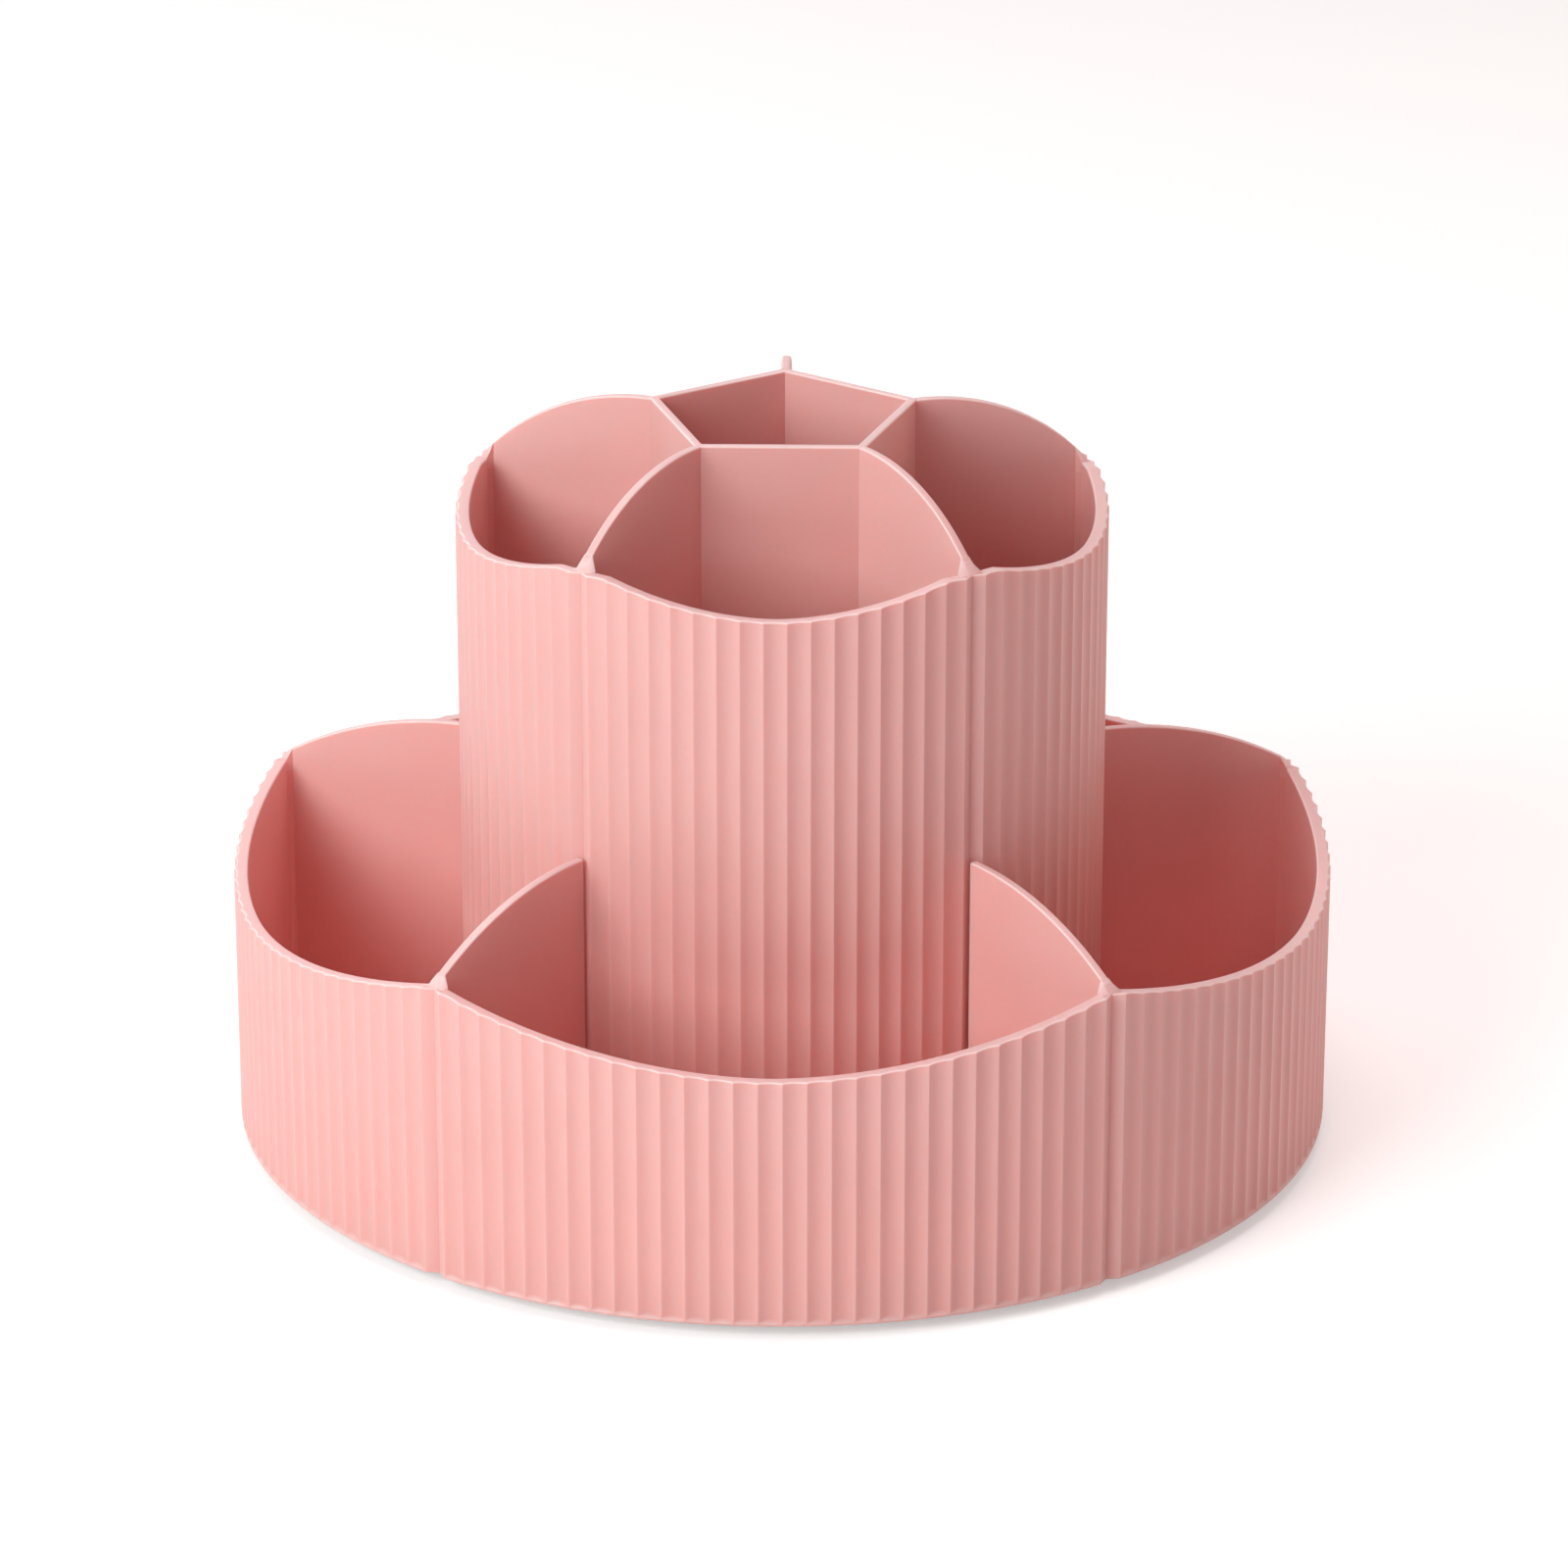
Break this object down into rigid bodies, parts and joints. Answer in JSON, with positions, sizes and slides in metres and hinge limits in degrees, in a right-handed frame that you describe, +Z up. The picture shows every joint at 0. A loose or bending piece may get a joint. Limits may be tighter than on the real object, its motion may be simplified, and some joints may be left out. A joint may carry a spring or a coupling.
{
  "type": "rotating pen holder",
  "caption": "Two-tier round desk organizer that turns on a ball bearing: fluted tray and raised fluted cup, each with open compartments between arched dividers.",
  "frame": {"origin": "on the turning axis, at desk level under the rubber feet", "axes": "+Z up along the turning axis; -Y points to the middle of the front lobe"},
  "size_m": [0.25, 0.25, 0.1685],
  "materials": {
    "pink_plastic": "satin moulded",
    "base_plastic": "fine matt",
    "foot_rubber": "matt",
    "cage_nylon": "natural",
    "ball_steel": "polished",
    "zinc_steel": "zinc plated"
  },
  "bodies": {
    "base": {"base_plate": "base_plastic", "foot_pad_1": "foot_rubber", "foot_pad_2": "foot_rubber", "foot_pad_3": "foot_rubber", "foot_pad_4": "foot_rubber", "foot_pad_5": "foot_rubber"},
    "turntable": {"lower_tray": "pink_plastic", "upper_cup": "pink_plastic", "cup_screw_1": "zinc_steel", "cup_screw_2": "zinc_steel", "cup_screw_3": "zinc_steel", "cup_screw_4": "zinc_steel", "cup_screw_5": "zinc_steel", "spindle_screw": "zinc_steel", "spindle_washer": "zinc_steel"},
    "cage": {"ball_cage": "cage_nylon"},
    "ball_01": {"race_ball_01": "ball_steel"},
    "ball_02": {"race_ball_02": "ball_steel"},
    "ball_03": {"race_ball_03": "ball_steel"},
    "ball_04": {"race_ball_04": "ball_steel"},
    "ball_05": {"race_ball_05": "ball_steel"},
    "ball_06": {"race_ball_06": "ball_steel"},
    "ball_07": {"race_ball_07": "ball_steel"},
    "ball_08": {"race_ball_08": "ball_steel"},
    "ball_09": {"race_ball_09": "ball_steel"},
    "ball_10": {"race_ball_10": "ball_steel"},
    "ball_11": {"race_ball_11": "ball_steel"},
    "ball_12": {"race_ball_12": "ball_steel"}
  },
  "joints": [
    {"name": "tray_spin", "type": "hinge", "parent": "base", "child": "turntable", "pos_m": [0, 0, 0.013], "axis": [0, 0, 1], "continuous": true},
    {"name": "cage_spin", "type": "hinge", "parent": "base", "child": "cage", "pos_m": [0, 0, 0.00875], "axis": [0, 0, 1], "continuous": true},
    {"name": "ball_01_roll", "type": "hinge", "parent": "cage", "child": "ball_01", "pos_m": [0, -0.06, 0.00875], "axis": [0, -1, 0], "continuous": true},
    {"name": "ball_02_roll", "type": "hinge", "parent": "cage", "child": "ball_02", "pos_m": [0.03, -0.05196, 0.00875], "axis": [0.5, -0.866, 0], "continuous": true},
    {"name": "ball_03_roll", "type": "hinge", "parent": "cage", "child": "ball_03", "pos_m": [0.05196, -0.03, 0.00875], "axis": [0.866, -0.5, 0], "continuous": true},
    {"name": "ball_04_roll", "type": "hinge", "parent": "cage", "child": "ball_04", "pos_m": [0.06, 0, 0.00875], "axis": [1, 0, 0], "continuous": true},
    {"name": "ball_05_roll", "type": "hinge", "parent": "cage", "child": "ball_05", "pos_m": [0.05196, 0.03, 0.00875], "axis": [0.866, 0.5, 0], "continuous": true},
    {"name": "ball_06_roll", "type": "hinge", "parent": "cage", "child": "ball_06", "pos_m": [0.03, 0.05196, 0.00875], "axis": [0.5, 0.866, 0], "continuous": true},
    {"name": "ball_07_roll", "type": "hinge", "parent": "cage", "child": "ball_07", "pos_m": [0, 0.06, 0.00875], "axis": [0, 1, 0], "continuous": true},
    {"name": "ball_08_roll", "type": "hinge", "parent": "cage", "child": "ball_08", "pos_m": [-0.03, 0.05196, 0.00875], "axis": [-0.5, 0.866, 0], "continuous": true},
    {"name": "ball_09_roll", "type": "hinge", "parent": "cage", "child": "ball_09", "pos_m": [-0.05196, 0.03, 0.00875], "axis": [-0.866, 0.5, 0], "continuous": true},
    {"name": "ball_10_roll", "type": "hinge", "parent": "cage", "child": "ball_10", "pos_m": [-0.06, 0, 0.00875], "axis": [-1, 0, 0], "continuous": true},
    {"name": "ball_11_roll", "type": "hinge", "parent": "cage", "child": "ball_11", "pos_m": [-0.05196, -0.03, 0.00875], "axis": [-0.866, -0.5, 0], "continuous": true},
    {"name": "ball_12_roll", "type": "hinge", "parent": "cage", "child": "ball_12", "pos_m": [-0.03, -0.05196, 0.00875], "axis": [-0.5, -0.866, 0], "continuous": true}
  ],
  "couplings": [
    {"joint": "cage_spin", "follows": "tray_spin", "ratio": 0.5},
    {"joint": "ball_01_roll", "follows": "tray_spin", "ratio": -10},
    {"joint": "ball_02_roll", "follows": "tray_spin", "ratio": -10},
    {"joint": "ball_03_roll", "follows": "tray_spin", "ratio": -10},
    {"joint": "ball_04_roll", "follows": "tray_spin", "ratio": -10},
    {"joint": "ball_05_roll", "follows": "tray_spin", "ratio": -10},
    {"joint": "ball_06_roll", "follows": "tray_spin", "ratio": -10},
    {"joint": "ball_07_roll", "follows": "tray_spin", "ratio": -10},
    {"joint": "ball_08_roll", "follows": "tray_spin", "ratio": -10},
    {"joint": "ball_09_roll", "follows": "tray_spin", "ratio": -10},
    {"joint": "ball_10_roll", "follows": "tray_spin", "ratio": -10},
    {"joint": "ball_11_roll", "follows": "tray_spin", "ratio": -10},
    {"joint": "ball_12_roll", "follows": "tray_spin", "ratio": -10}
  ]
}
